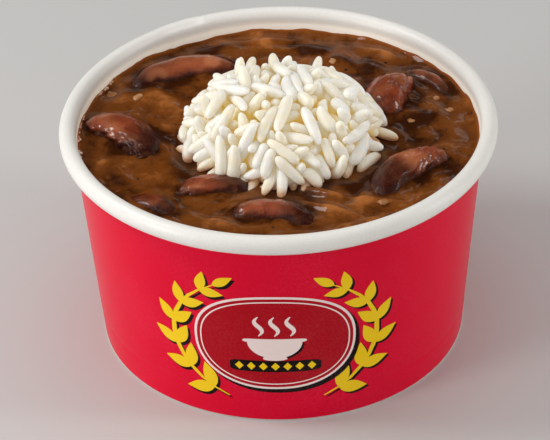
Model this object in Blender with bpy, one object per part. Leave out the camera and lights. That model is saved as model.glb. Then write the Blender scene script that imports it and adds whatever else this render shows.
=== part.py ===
"""Red beans and rice in a round paper food cup.

Metres, +Z up. The origin is on the table, on the cup's axis. Every piece of food that can be
picked out on its own is one object: the gravy, the heap of rice and each bean that shows.
"""

import math

import bmesh
import bpy
from mathutils import Matrix, Vector, noise

MM = 0.001

# Gap left between pieces that touch.
GAP = 0.3 * MM

# Edges that turn more sharply than this are shown as edges.
EDGE_ANGLE = math.radians(40)

# Paper cup: a tapered wall with a rolled rim, and a raised base with a turned-down edge.
CUP_HEIGHT = 49.5 * MM
FOOT_RADIUS = 37.9 * MM
WALL = 0.8 * MM
BOARD = 0.6 * MM
ROLL_RADIUS = 43.25 * MM
ROLL_HALF_WIDTH = 1.75 * MM
ROLL_HALF_HEIGHT = 2.1 * MM
ROLL_JOIN = math.radians(129)
ROLL_STEPS = 12
SLOT_BOTTOM = 0.8 * MM
HEM_TOP = 5.0 * MM
BASE_UNDERSIDE = 6.0 * MM
BASE_EDGE = 1.1 * MM
CUP_SEGMENTS = 56
CUP_WELD = 0.001 * MM

ROLL_HEIGHT = CUP_HEIGHT - ROLL_HALF_HEIGHT
MOUTH_RADIUS = ROLL_RADIUS - ROLL_HALF_WIDTH
WALL_LEAN = (MOUTH_RADIUS - (FOOT_RADIUS - WALL)) / ROLL_HEIGHT

# Gravy: its mean level below the rim, the lift where it wets the wall, and its slow waves.
GRAVY_DROP = 4.9 * MM
GRAVY_LIFT = 0.8 * MM
GRAVY_LIFT_WIDTH = 1.2 * MM
GRAVY_WAVE = 0.35 * MM
GRAVY_WAVE_LENGTH = 9.0 * MM
GRAVY_RINGS = 7
GRAVY_LEVEL = CUP_HEIGHT - GRAVY_DROP
GRAVY_BOTTOM = BASE_UNDERSIDE + BOARD + GAP

# Rice: a heap with a steep left side, its crown left of its middle, sunk a little in the gravy.
RICE_CENTRE = Vector((1.2 * MM, -0.8 * MM))
RICE_RADII = Vector((20.6 * MM, 18.6 * MM))
RICE_SUNK = 1.5 * MM
RICE_RISE = 12.2 * MM
RICE_ROUNDNESS = 2.2
RICE_CROWN_SHIFT = 2.5 * MM
RICE_LUMP = 1.5 * MM
RICE_LUMP_SPACING = 5.0 * MM

# The heap starts as a ball of radius 1; points closer than this on it are one point.
RICE_WELD = 0.01

# Beans. An axis heading of 0 runs along +X; a rise tips the end that the heading points to
# upwards; a roll turns the bean about its own length; top is how far it stands above the gravy.
# Bow, notch and bluntness shape the kidney, as shares of its own size.
BEAN_BOW = 0.10
BEAN_NOTCH = 0.30
BEAN_BLUNTNESS = 0.20
BEAN_AROUND = 12
BEAN_ALONG = 8
BEANS = {
    "bean_left": dict(x=-32.0, y=0.8, heading=-45, size=(20.0, 11.0, 8.6), top=2.9),
    "bean_back_left": dict(x=-19.6, y=25.2, heading=17, size=(24.0, 9.8, 8.0), top=2.4),
    "bean_right_back": dict(x=24.0, y=13.7, heading=70, size=(15.6, 10.8, 10.0), top=4.2,
                            rise=-8),
    "bean_far_right": dict(x=31.8, y=19.4, heading=-46, size=(12.5, 5.4, 6.0), top=1.2),
    "bean_right_front": dict(x=25.9, y=-15.4, heading=47, size=(21.0, 10.0, 8.8), top=3.1,
                             rise=4),
    "bean_by_rice": dict(x=-13.0, y=-18.9, heading=-4, size=(16.5, 8.4, 7.8), top=2.2),
    "bean_front": dict(x=-1.2, y=-29.0, heading=-18, size=(18.0, 9.0, 7.6), top=2.1),
    "bean_front_left": dict(x=-26.0, y=-24.0, heading=-30, size=(15.0, 8.0, 6.8), top=1.3),
}

# Finishes: colour, roughness.
WHITE_BOARD = ((0.88, 0.86, 0.82, 1.0), 0.45)
PRINTED_BOARD = ((0.72, 0.02, 0.05, 1.0), 0.25)
GRAVY_FINISH = ((0.13, 0.05, 0.018, 1.0), 0.22)
RICE_FINISH = ((0.86, 0.83, 0.74, 1.0), 0.45)
BEAN_FINISH = ((0.19, 0.045, 0.022, 1.0), 0.25)


def clear_scene():
    """Remove everything that the file opens with."""
    for item in list(bpy.data.objects):
        bpy.data.objects.remove(item, do_unlink=True)


def make_material(name, finish):
    """A plain surface with one colour and one roughness."""
    colour, roughness = finish
    material = bpy.data.materials.new(name)
    material.use_nodes = True
    shader = material.node_tree.nodes["Principled BSDF"]
    shader.inputs["Base Color"].default_value = colour
    shader.inputs["Roughness"].default_value = roughness
    shader.inputs["Metallic"].default_value = 0.0
    material.diffuse_color = colour
    return material


def add_object(name, shape, finish=None):
    """Turn a bmesh into an object of that name, shaded smooth, with its own material."""
    bmesh.ops.recalc_face_normals(shape, faces=shape.faces)
    mesh = bpy.data.meshes.new(name)
    shape.to_mesh(mesh)
    shape.free()
    mesh.shade_smooth()
    mesh.set_sharp_from_angle(angle=EDGE_ANGLE)
    item = bpy.data.objects.new(name, mesh)
    bpy.context.collection.objects.link(item)
    if finish:
        mesh.materials.append(make_material(name, finish))
    return item


def turned(outline, closed):
    """Turn an outline of (radius, height) points about the Z axis into a closed shape."""
    shape = bmesh.new()
    corners = [shape.verts.new((radius, 0.0, height)) for radius, height in outline]
    pairs = list(zip(corners, corners[1:]))
    if closed:
        pairs.append((corners[-1], corners[0]))
    edges = [shape.edges.new(pair) for pair in pairs]
    bmesh.ops.spin(shape, geom=corners + edges, cent=(0, 0, 0), axis=(0, 0, 1),
                   angle=math.tau, steps=CUP_SEGMENTS, use_merge=True)
    bmesh.ops.remove_doubles(shape, verts=shape.verts, dist=CUP_WELD)
    return shape


def inner_radius(height):
    """Radius of the wall's inner face."""
    return FOOT_RADIUS - WALL + WALL_LEAN * height


def make_cup_wall():
    """The side wall, from its rolled rim down to the hem folded up inside the foot."""
    hem_outside = inner_radius(SLOT_BOTTOM) - 2 * GAP - BOARD
    hem_lean = WALL_LEAN * (HEM_TOP - SLOT_BOTTOM)
    outline = [(FOOT_RADIUS, 0.0)]
    for step in range(ROLL_STEPS + 1):
        angle = -ROLL_JOIN + (math.pi + ROLL_JOIN) * step / ROLL_STEPS
        outline.append((ROLL_RADIUS + ROLL_HALF_WIDTH * math.cos(angle),
                        ROLL_HEIGHT + ROLL_HALF_HEIGHT * math.sin(angle)))
    outline += [
        (inner_radius(SLOT_BOTTOM), SLOT_BOTTOM),
        (hem_outside, SLOT_BOTTOM),
        (hem_outside + hem_lean, HEM_TOP),
        (hem_outside + hem_lean - BOARD, HEM_TOP),
        (hem_outside - BOARD, 0.0),
    ]
    return add_object("cup_wall", turned(outline, closed=True), PRINTED_BOARD)


def make_cup_base():
    """The raised base disc, whose edge is turned down into the hem."""
    top = BASE_UNDERSIDE + BOARD
    edge_outside = inner_radius(BASE_EDGE) - GAP
    outline = [
        (0.0, BASE_UNDERSIDE),
        (inner_radius(BASE_UNDERSIDE) - GAP - BOARD, BASE_UNDERSIDE),
        (edge_outside - BOARD, BASE_EDGE),
        (edge_outside, BASE_EDGE),
        (inner_radius(top) - GAP, top),
        (0.0, top),
    ]
    return add_object("cup_base", turned(outline, closed=False), WHITE_BOARD)


def gravy_height(x, y):
    """Height of the gravy's surface, with slow waves and a lift where it wets the wall."""
    waves = noise.noise(Vector((x, y, 0.0)) / GRAVY_WAVE_LENGTH)
    shore = inner_radius(GRAVY_LEVEL) - GAP
    lift = math.exp((math.hypot(x, y) - shore) / GRAVY_LIFT_WIDTH)
    return GRAVY_LEVEL + GRAVY_WAVE * waves + GRAVY_LIFT * lift


def make_gravy():
    """The gravy, up to its uneven surface; the pits for the beans and rice are cut later."""
    shore = inner_radius(GRAVY_LEVEL) - GAP
    outline = [(0.0, GRAVY_BOTTOM), (inner_radius(GRAVY_BOTTOM) - GAP, GRAVY_BOTTOM)]
    for ring in range(GRAVY_RINGS, -1, -1):
        outline.append((shore * math.sin(0.5 * math.pi * ring / GRAVY_RINGS), GRAVY_LEVEL))
    shape = turned(outline, closed=False)
    for vertex in shape.verts:
        if vertex.co.z > GRAVY_LEVEL - GAP:
            vertex.co.z = gravy_height(vertex.co.x, vertex.co.y)
            over_wall = math.hypot(vertex.co.x, vertex.co.y) > shore - GAP
            if over_wall:
                vertex.co.xy *= (inner_radius(vertex.co.z) - GAP) / shore
    return add_object("gravy", shape, GRAVY_FINISH)


def make_rice():
    """The heap of rice out to its uneven outline, with a flat underside."""
    shape = bmesh.new()
    bmesh.ops.create_icosphere(shape, subdivisions=5, radius=1.0)
    bmesh.ops.bisect_plane(shape, geom=shape.verts[:] + shape.edges[:] + shape.faces[:],
                           dist=RICE_WELD, plane_co=(0, 0, 0), plane_no=(0, 0, 1), clear_inner=True)
    bmesh.ops.remove_doubles(shape, verts=shape.verts, dist=RICE_WELD)
    bmesh.ops.holes_fill(shape, edges=[edge for edge in shape.edges if edge.is_boundary])
    full_height = RICE_SUNK + RICE_RISE
    power = 2.0 / RICE_ROUNDNESS
    for vertex in shape.verts:
        reach = math.hypot(vertex.co.x, vertex.co.y)
        side = vertex.co.xy.normalized() * reach ** power
        rise = max(vertex.co.z, 0.0) ** power
        point = Vector((RICE_RADII.x * side.x, RICE_RADII.y * side.y, full_height * rise))
        spacing = noise.voronoi(point / RICE_LUMP_SPACING)[0][0]
        if vertex.co.z > RICE_WELD:
            point += vertex.co.normalized() * RICE_LUMP * (0.5 - spacing)
        point.x += RICE_CENTRE.x - RICE_CROWN_SHIFT * rise
        point.y += RICE_CENTRE.y
        point.z = max(point.z, 0.0) + GRAVY_LEVEL - RICE_SUNK
        vertex.co = point
    return add_object("rice_mound", shape, RICE_FINISH)


def make_bean(name, x, y, heading, size, top, rise=0, roll=0):
    """A kidney-shaped bean: an egg bent along its length, hollowed on the inner side."""
    length, width, height = (side * MM for side in size)
    shape = bmesh.new()
    bmesh.ops.create_uvsphere(shape, u_segments=BEAN_AROUND, v_segments=BEAN_ALONG, radius=1.0)
    bmesh.ops.rotate(shape, verts=shape.verts, matrix=Matrix.Rotation(math.radians(90), 3, "Y"))
    for vertex in shape.verts:
        along, across, up = vertex.co
        middle = 1.0 - along * along
        hollow = 1.0 - BEAN_NOTCH * middle * middle * max(0.0, -across)
        bow = BEAN_BOW * length * (middle - 0.5)
        vertex.co = (0.5 * length * along * (1.0 + BEAN_BLUNTNESS * middle),
                     0.5 * width * across * hollow + bow,
                     0.5 * height * up)
    bean = add_object(name, shape, BEAN_FINISH)
    bean.location = (x * MM, y * MM, GRAVY_LEVEL + top * MM - 0.5 * height)
    bean.rotation_euler = (math.radians(roll), math.radians(-rise), math.radians(heading))
    return bean


def make_cutter(piece):
    """A copy of a piece grown by the gap, which cuts its pit in whatever it lies in."""
    cutter = bpy.data.objects.new(piece.name + "_cutter", piece.data)
    bpy.context.collection.objects.link(cutter)
    cutter.location = piece.location
    cutter.rotation_euler = piece.rotation_euler
    grow = cutter.modifiers.new("grow", "DISPLACE")
    grow.direction = "NORMAL"
    grow.mid_level = 0.0
    grow.strength = GAP
    cutter.hide_render = True
    cutter.display_type = "WIRE"
    return cutter


def cut(piece, cutter):
    """Take a cutter's shape out of a piece."""
    pit = piece.modifiers.new("pit_" + cutter.name, "BOOLEAN")
    pit.operation = "DIFFERENCE"
    pit.solver = "EXACT"
    pit.object = cutter


def main():
    clear_scene()
    make_cup_wall()
    make_cup_base()
    gravy = make_gravy()
    rice = make_rice()
    cut(gravy, make_cutter(rice))
    for name, measures in BEANS.items():
        cutter = make_cutter(make_bean(name, **measures))
        cut(gravy, cutter)
        cut(rice, cutter)


main()
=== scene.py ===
"""The looks of a paper cup of red beans and rice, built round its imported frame.

Laid out as an add-on: one operator makes each piece or group of like pieces, and one the stage.
Everything is in metres in the frame's own axes: +Z up, the printed side facing -Y.
"""

import math
import random

import bmesh
import bpy
import numpy
from bpy.props import FloatProperty, FloatVectorProperty, IntProperty, PointerProperty
from mathutils import Matrix, Vector, noise
from mathutils.bvhtree import BVHTree


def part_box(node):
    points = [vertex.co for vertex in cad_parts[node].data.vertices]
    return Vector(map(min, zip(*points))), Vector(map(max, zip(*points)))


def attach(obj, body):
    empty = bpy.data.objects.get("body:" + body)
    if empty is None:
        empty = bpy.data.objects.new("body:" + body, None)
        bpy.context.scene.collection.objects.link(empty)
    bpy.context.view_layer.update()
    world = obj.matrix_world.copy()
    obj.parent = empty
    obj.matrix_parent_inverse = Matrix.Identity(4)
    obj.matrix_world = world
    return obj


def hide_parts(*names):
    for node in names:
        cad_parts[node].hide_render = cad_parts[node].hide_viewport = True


bl_info = {
    "name": "Red Beans and Rice Cup",
    "version": (1, 0, 0),
    "blender": (4, 5, 0),
    "location": "View3D > Sidebar > Beans and Rice",
    "description": "Makes the looks of a paper cup of red beans and rice, piece by piece",
    "category": "Add Mesh",
}

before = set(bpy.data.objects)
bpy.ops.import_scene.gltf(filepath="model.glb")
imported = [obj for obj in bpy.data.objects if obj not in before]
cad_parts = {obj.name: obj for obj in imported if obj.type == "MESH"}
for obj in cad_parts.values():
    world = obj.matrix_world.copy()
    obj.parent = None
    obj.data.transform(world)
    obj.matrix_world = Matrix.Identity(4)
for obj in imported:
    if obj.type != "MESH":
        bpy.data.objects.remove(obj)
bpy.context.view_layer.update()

MM = 0.001
BLACK = (0.0, 0.0, 0.0, 1.0)
RIM_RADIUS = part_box("cup_wall")[1].x
CUP_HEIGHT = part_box("cup_wall")[1].z
BASE_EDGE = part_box("cup_base")[0].z
BASE_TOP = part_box("cup_base")[1].z
RICE_LOW, RICE_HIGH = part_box("rice_mound")
RICE_MIDDLE = (RICE_LOW + RICE_HIGH) / 2

# Which way the beans lie in their nodes' boxes: heading in the XY plane, rise of the end that it
# points to, size along, across and up. How wrinkled each one is, how far its forward end (below 0:
# its other end) is darkened, partly as gravy coating and partly as painted shade, how much painted
# sheen lightens its top, and the side where it has crinkled.
BEANS = {
    "bean_left": dict(heading=-45, size=(20.0, 11.0, 8.6), wrinkle=0.8, dark_end=0.8, rub=0.7,
                      crinkle=(0.2, -1.0, 1.0)),
    "bean_back_left": dict(heading=17, size=(24.0, 9.8, 8.0), wrinkle=0.3, dark_end=-0.5, rub=2.2),
    "bean_right_back": dict(heading=70, rise=-8, size=(15.6, 10.8, 10.0), wrinkle=0.7, dark_end=-0.2,
                            rub=0.5, crinkle=(0.3, -0.8, 0.5)),
    "bean_far_right": dict(heading=-46, size=(12.5, 5.4, 6.0), wrinkle=0.2, dark_end=0.0, rub=1.4),
    "bean_right_front": dict(heading=47, rise=4, size=(21.0, 10.0, 8.8), wrinkle=0.8, dark_end=-1.5,
                             rub=1.0, crinkle=(0.9, -0.5, 0.35)),
    "bean_by_rice": dict(heading=-4, size=(16.5, 8.4, 7.8), wrinkle=0.5, dark_end=1.2, rub=1.1,
                         crinkle=(-0.6, -0.3, 0.4)),
    "bean_front": dict(heading=-18, size=(18.0, 9.0, 7.6), wrinkle=0.6, dark_end=0.9, rub=0.3,
                       crinkle=(0.5, 0.3, 0.4)),
    "bean_front_left": dict(heading=-30, size=(15.0, 8.0, 6.8), wrinkle=0.2, dark_end=0.5, rub=0.6),
}
BEAN_BOXES = {name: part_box(name) for name in BEANS}
BEAN_BOW = 0.10
BEAN_NOTCH = 0.30
BEAN_BLUNTNESS = 0.20

# Ridges that sunk beans and vegetables raise in the gravy: x, y, heading, length, width, rise, and
# how light (above 0) or dark (below 0) the gravy is there, partly starchy film and sunk beans and
# partly painted light and shade. The last ones are painted shadows beside the beans: dark, almost
# flat.
SUNK_RIDGES = [
    (-25.0, 15.0, -20, 14.0, 6.0, 0.8, 0.5),
    (-20.5, 6.0, 60, 12.0, 5.0, 0.6, 0.3),
    (-21.5, -10.5, -55, 10.0, 4.5, 0.6, -0.5),
    (-13.0, 34.6, 8, 12.0, 3.6, 0.8, -0.6),
    (-2.0, 37.0, 2, 18.0, 3.0, 0.6, 0.3),
    (8.0, 33.4, -14, 9.0, 4.4, 0.9, -0.7),
    (13.9, 28.5, -38, 8.0, 4.2, 0.8, -0.6),
    (20.2, 25.8, -60, 7.0, 4.6, 0.9, -0.5),
    (21.6, 31.0, -32, 13.0, 3.2, 0.8, 0.6),
    (29.5, 6.0, -10, 10.0, 5.0, 0.7, -0.4),
    (36.0, -3.0, 75, 12.0, 4.5, 0.5, 0.4),
    (8.4, -21.6, -26, 12.0, 2.2, 1.2, 0.5),
    (9.8, -27.8, -28, 13.0, 2.4, 1.1, 0.6),
    (12.2, -18.8, -10, 9.0, 3.0, 0.4, -0.6),
    (3.0, -36.0, -10, 17.0, 4.0, 0.7, 0.3),
    (20.0, -25.5, -14, 11.0, 2.8, 0.9, 0.5),
    (18.0, -31.5, 24, 14.0, 3.4, 0.7, 0.3),
    (-14.0, -31.0, -22, 13.0, 4.2, 0.6, 0.5),
    (-21.0, -16.5, -35, 9.0, 3.4, 0.6, 0.4),
    (-33.5, -12.0, -70, 12.0, 4.0, 0.5, -0.3),
    (-8.0, -38.0, -12, 14.0, 3.6, 0.5, 0.2),
    # Painted shadows beside the beans: dark, almost flat patches.
    (29.5, 12.0, 75, 9.0, 4.0, 0.1, -0.7),
    (26.5, 3.0, 20, 11.0, 5.0, 0.1, -0.7),
    (17.0, -18.2, 35, 11.0, 5.0, 0.1, -0.7),
    (-25.5, 1.0, -30, 10.0, 5.0, 0.1, -0.7),
    (-28.0, 18.5, 14, 13.0, 4.0, 0.1, -0.7),
]


def srgb(red, green, blue):
    """A display colour, 0 to 255, as the linear RGBA that Blender's sockets take."""
    linear = []
    for value in (red / 255, green / 255, blue / 255):
        linear.append(value / 12.92 if value <= 0.04045 else ((value + 0.055) / 1.055) ** 2.4)
    return (*linear, 1.0)


def colour_property(name, description, default):
    """A colour setting shown as a swatch."""
    return FloatVectorProperty(name=name, description=description, subtype="COLOR", size=4,
                               min=0.0, max=1.0, default=default)


def length_property(name, description, default):
    """A length setting."""
    return FloatProperty(name=name, description=description, default=default, unit="LENGTH",
                         precision=5, min=0.0)


class CupSettings(bpy.types.PropertyGroup):
    """Sizes and colours of the paper cup."""
    foot_radius: length_property("Foot radius", "Outer radius of the wall at the table", 37.9 * MM)
    wall: length_property("Wall", "Thickness of the side wall", 0.8 * MM)
    board: length_property("Board", "Thickness of the base and the hem", 0.6 * MM)
    roll_width: length_property("Roll width", "Width of the rolled rim", 3.5 * MM)
    roll_height: length_property("Roll height", "Height of the rolled rim", 4.2 * MM)
    hem_height: length_property("Hem height", "Height of the hem inside the foot", 5.0 * MM)
    seam_lap: length_property("Seam lap", "Width of the glued side seam", 7.0 * MM)
    seam_step: length_property("Seam step", "Height of the seam's step", 0.24 * MM)
    white: colour_property("Board", "White coated board", srgb(233, 230, 224))
    # Painted glow: emission that brightens the board's inner face near the mouth, standing in for
    # light.
    painted_glow: colour_property("Painted glow", "Light that the paper passes on inside the mouth",
                            (0.19, 0.145, 0.10, 1.0))
    red: colour_property("Print", "Red print on the side wall", srgb(222, 3, 50))


class PrintSettings(bpy.types.PropertyGroup):
    """Sizes and inks of the badge printed on the front."""
    layer: length_property("Layer", "Thickness of one printed layer", 0.025 * MM)
    badge_width: length_property("Badge width", "Width of the oval badge", 33.5 * MM)
    badge_height: length_property("Badge height", "Height of the oval badge", 24.5 * MM)
    badge_middle: length_property("Badge middle", "Height of the badge's middle", 21.0 * MM)
    black: colour_property("Black", "Shadows behind the motifs", srgb(26, 14, 14))
    cream: colour_property("Cream", "Outlines, bowl and steam", srgb(247, 226, 222))
    deep_red: colour_property("Deep red", "Field of the badge", srgb(176, 12, 30))
    yellow: colour_property("Yellow", "Leaves and diamonds", srgb(247, 206, 32))


class GravySettings(bpy.types.PropertyGroup):
    """Level, relief and colours of the gravy."""
    drop: length_property("Drop", "Depth of the gravy's mean level below the rim", 4.9 * MM)
    lift: length_property("Lift", "How far the gravy climbs the wall", 0.9 * MM)
    cling: length_property("Cling", "How far the gravy climbs a bean", 0.5 * MM)
    relief: length_property("Relief", "Height of the folds in the surface", 0.6 * MM)
    # Dark and light: partly the gravy's own tone, partly painted light and shade, with crests
    # painted lighter and hollows and the gravy beside the beans and the rice painted darker.
    dark: colour_property("Dark", "Hollows", srgb(58, 25, 5))
    middle: colour_property("Middle", "Body of the gravy", srgb(114, 60, 17))
    light: colour_property("Light", "Crests and starchy film", srgb(168, 100, 46))
    edge: colour_property("Edge", "Thin gravy at the wall", srgb(144, 76, 25))


class BeanSettings(bpy.types.PropertyGroup):
    """Skin colours and relief of the beans."""
    wrinkle: length_property("Wrinkle", "Depth of the deepest wrinkles", 0.6 * MM)
    crinkle: length_property("Crinkle", "Depth of the blisters where a skin has crinkled",
                             0.8 * MM)
    dark: colour_property("Dark", "Dark red skin", srgb(76, 20, 6))
    middle: colour_property("Middle", "Red-brown skin", srgb(146, 56, 20))
    # Painted sheen: the pale colour laid on the beans' upward-facing tops stands in for the light
    # that they mirror.
    pale: colour_property("Pale", "Rubbed pinkish skin", srgb(180, 106, 66))
    # Dark colour of the beans' lower parts and one end: partly gravy coating, partly painted shade.
    sauce_and_shade: colour_property("Sauced", "Skin under dark gravy", srgb(52, 14, 5))


class RiceSettings(bpy.types.PropertyGroup):
    """Number, size and colours of the grains."""
    grains: IntProperty(name="Grains", description="Grains in the heap", default=330, min=50,
                        max=500)
    length: length_property("Length", "Length of a whole grain", 9.0 * MM)
    width: length_property("Width", "Width of a grain", 2.75 * MM)
    white: colour_property("White", "Outer grains", srgb(229, 228, 224))
    # Painted shade: grains deep in the heap and in its gaps take this darker, yellower colour.
    painted_gap_shade: colour_property("Painted gap shade", "Grains deep in the heap", srgb(206, 181, 98))
    stain: colour_property("Stain", "Rice wetted by the gravy", srgb(206, 138, 72))
    # Painted glow: emission on the outer grains, standing in for light scattered through them.
    painted_grain_glow: colour_property("Painted grain glow", "Light that an outer grain passes on",
                           (0.09, 0.085, 0.076, 1.0))
    # Painted glow: stronger, yellower emission deep in the heap and in its gaps.
    glow: colour_property("Glow", "Light that has passed through the heap to its gaps",
                          (0.19, 0.142, 0.04, 1.0))


class BitSettings(bpy.types.PropertyGroup):
    """Colours of the bits in the gravy."""
    herb_dark: colour_property("Herb dark", "Shaded side of a fleck", srgb(44, 22, 8))
    herb_light: colour_property("Herb light", "Lit side of a fleck", srgb(62, 36, 14))
    onion_dark: colour_property("Onion dark", "Onion soaked with gravy", srgb(150, 92, 48))
    onion_light: colour_property("Onion light", "Softened onion", srgb(198, 144, 96))
    foam_dark: colour_property("Foam dark", "Film of a bubble", srgb(196, 140, 104))
    foam_light: colour_property("Foam light", "Top of a bubble", srgb(232, 200, 180))


class StageSettings(bpy.types.PropertyGroup):
    """The floor, the lights' strength and the camera's lens."""
    floor: colour_property("Floor", "Pale studio floor", srgb(200, 199, 197))
    key: FloatProperty(name="Key", description="Power that each light takes its share of, in watts",
                       default=1.5, min=0.0)
    distance: length_property("Distance", "Camera to the middle of the rim", 0.7172)
    lens: FloatProperty(name="Lens", description="Focal length in millimetres", default=229.1,
                        min=20.0)


class DishSettings(bpy.types.PropertyGroup):
    """All the settings of the cup of red beans and rice."""
    cup: PointerProperty(type=CupSettings)
    badge: PointerProperty(type=PrintSettings)
    gravy: PointerProperty(type=GravySettings)
    beans: PointerProperty(type=BeanSettings)
    rice: PointerProperty(type=RiceSettings)
    bits: PointerProperty(type=BitSettings)
    stage: PointerProperty(type=StageSettings)


# Node helpers


def fill_input(tree, target, value):
    """Link a socket to a node's input, or set the input to a plain value."""
    if isinstance(value, bpy.types.NodeSocket):
        tree.links.new(value, target)
    else:
        target.default_value = value


def add_node(tree, kind, inputs=None, **settings):
    """Add a node of a kind, set its settings, and set or link its inputs."""
    node = tree.nodes.new(kind)
    for name, value in settings.items():
        setattr(node, name, value)
    for name, value in (inputs or {}).items():
        fill_input(tree, node.inputs[name], value)
    return node


def mix_colours(tree, factor, first, second):
    """Mix two colours by a factor, and return the result's socket."""
    node = add_node(tree, "ShaderNodeMix", data_type="RGBA")
    for socket, value in (("Factor_Float", factor), ("A_Color", first), ("B_Color", second)):
        fill_input(tree, next(item for item in node.inputs if item.identifier == socket), value)
    return next(item for item in node.outputs if item.identifier == "Result_Color")


def calculate(tree, operation, first, second=0.0, clamp=False):
    """One step of arithmetic, as a socket."""
    return add_node(tree, "ShaderNodeMath", {0: first, 1: second}, operation=operation,
                    use_clamp=clamp).outputs[0]


def spread(tree, value, low, high, to_low=0.0, to_high=1.0):
    """Stretch the span from low to high over the span from to_low to to_high, with soft ends."""
    node = add_node(tree, "ShaderNodeMapRange", {"Value": value, "From Min": low,
                    "From Max": high, "To Min": to_low, "To Max": to_high},
                    interpolation_type="SMOOTHSTEP")
    return node.outputs[0]


def noise_value(tree, place, size, detail=3.0, roughness=0.5, distortion=0.0):
    """Noise with lumps about as large as size, in metres."""
    return add_node(tree, "ShaderNodeTexNoise", {"Vector": place, "Scale": 1.0 / size,
                    "Detail": detail, "Roughness": roughness,
                    "Distortion": distortion}).outputs["Fac"]


def attribute_value(tree, name):
    """A value that the piece's mesh carries at each point."""
    return add_node(tree, "ShaderNodeAttribute", attribute_name=name).outputs["Fac"]


def new_material(name, **constants):
    """A material with a Principled BSDF whose named inputs are set to plain values."""
    material = bpy.data.materials.new(name)
    material.use_nodes = True
    shader = material.node_tree.nodes["Principled BSDF"]
    for socket, value in constants.items():
        shader.inputs[socket.replace("_", " ")].default_value = value
    return material, material.node_tree, shader


def bump(tree, shader, height, distance, strength=1.0):
    """Feed a height, 0 to 1, to the shader's normal as relief of that depth."""
    node = add_node(tree, "ShaderNodeBump", {"Height": height, "Distance": distance,
                    "Strength": strength})
    tree.links.new(node.outputs["Normal"], shader.inputs["Normal"])


def object_place(tree):
    """Where a point is, in the piece's own coordinates."""
    return add_node(tree, "ShaderNodeTexCoord").outputs["Object"]


def new_group(name, inputs, outputs):
    """A shader node group with float, vector or colour sockets; returns its tree and ends."""
    kinds = {"value": "NodeSocketFloat", "place": "NodeSocketVector", "colour": "NodeSocketColor"}
    tree = bpy.data.node_groups.new(name, "ShaderNodeTree")
    for label, kind in inputs:
        tree.interface.new_socket(label, in_out="INPUT", socket_type=kinds[kind])
    for label, kind in outputs:
        tree.interface.new_socket(label, in_out="OUTPUT", socket_type=kinds[kind])
    return tree, tree.nodes.new("NodeGroupInput"), tree.nodes.new("NodeGroupOutput")


def use_group(tree, group, inputs):
    """Place a node group in a material with its own values."""
    return add_node(tree, "ShaderNodeGroup", inputs, node_tree=group)


def paper_grain_group():
    """Fibres and coating of paper board: a height and a colour."""
    found = bpy.data.node_groups.get("paper_grain")
    if found:
        return found
    tree, start, end = new_group("paper_grain",
                                 [("Place", "place"), ("Colour", "colour"), ("Tint", "value")],
                                 [("Colour", "colour"), ("Height", "value")])
    place = start.outputs["Place"]
    fibres = noise_value(tree, place, 0.45 * MM, detail=4.0, roughness=0.6)
    coating = noise_value(tree, place, 2.6 * MM, detail=2.0)
    cloud = noise_value(tree, place, 14 * MM, detail=2.0)
    height = calculate(tree, "MULTIPLY_ADD", coating, 1.4)
    tree.links.new(fibres, height.node.inputs[2])
    tree.links.new(height, end.inputs["Height"])
    tone = calculate(tree, "ADD", spread(tree, fibres, 0.35, 0.65, -0.03, 0.03),
                     spread(tree, cloud, 0.3, 0.7, -0.02, 0.02))
    shade = calculate(tree, "MULTIPLY", tone, start.outputs["Tint"])
    bright = add_node(tree, "ShaderNodeBrightContrast", {"Color": start.outputs["Colour"],
                      "Bright": shade})
    tree.links.new(bright.outputs[0], end.inputs["Colour"])
    return tree


def wet_relief_group():
    """Grainy wet surface of cooked food: a fine height, a mottle and a roughness."""
    found = bpy.data.node_groups.get("wet_relief")
    if found:
        return found
    tree, start, end = new_group("wet_relief",
                                 [("Place", "place"), ("Fine", "value"), ("Broad", "value"),
                                  ("Gloss", "value")],
                                 [("Height", "value"), ("Mottle", "value"), ("Roughness", "value")])
    place = start.outputs["Place"]
    fine = add_node(tree, "ShaderNodeTexNoise", {"Vector": place, "Scale": start.outputs["Fine"],
                    "Detail": 4.0, "Roughness": 0.6}).outputs["Fac"]
    broad = add_node(tree, "ShaderNodeTexNoise", {"Vector": place, "Detail": 3.0,
                     "Scale": start.outputs["Broad"], "Distortion": 0.8}).outputs["Fac"]
    height = calculate(tree, "MULTIPLY_ADD", broad, 0.8)
    tree.links.new(fine, height.node.inputs[2])
    tree.links.new(height, end.inputs["Height"])
    mottle = calculate(tree, "MULTIPLY_ADD", spread(tree, broad, 0.3, 0.7), 0.7)
    tree.links.new(spread(tree, fine, 0.3, 0.7, 0.0, 0.3), mottle.node.inputs[2])
    tree.links.new(mottle, end.inputs["Mottle"])
    rough = calculate(tree, "ADD", start.outputs["Gloss"],
                      spread(tree, broad, 0.35, 0.65, -0.06, 0.14))
    tree.links.new(rough, end.inputs["Roughness"])
    return tree


# Materials


def board_material(cup):
    """White coated board, with a little grain, and a painted glow on its inner face near the mouth.
    """
    material, tree, shader = new_material("white_board", Roughness=0.42, Coat_Weight=0.1,
                                          Coat_Roughness=0.25, Emission_Strength=1.0)
    grain = use_group(tree, paper_grain_group(), {"Place": object_place(tree),
                      "Colour": cup.white, "Tint": 0.5})
    tree.links.new(grain.outputs["Colour"], shader.inputs["Base Color"])
    # Painted glow on the inner face near the mouth.
    painted_glow = mix_colours(tree, attribute_value(tree, "mouth"), BLACK, tuple(cup.painted_glow))
    tree.links.new(painted_glow, shader.inputs["Emission Color"])
    bump(tree, shader, grain.outputs["Height"], 0.03 * MM, 0.35)
    return material


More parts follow.
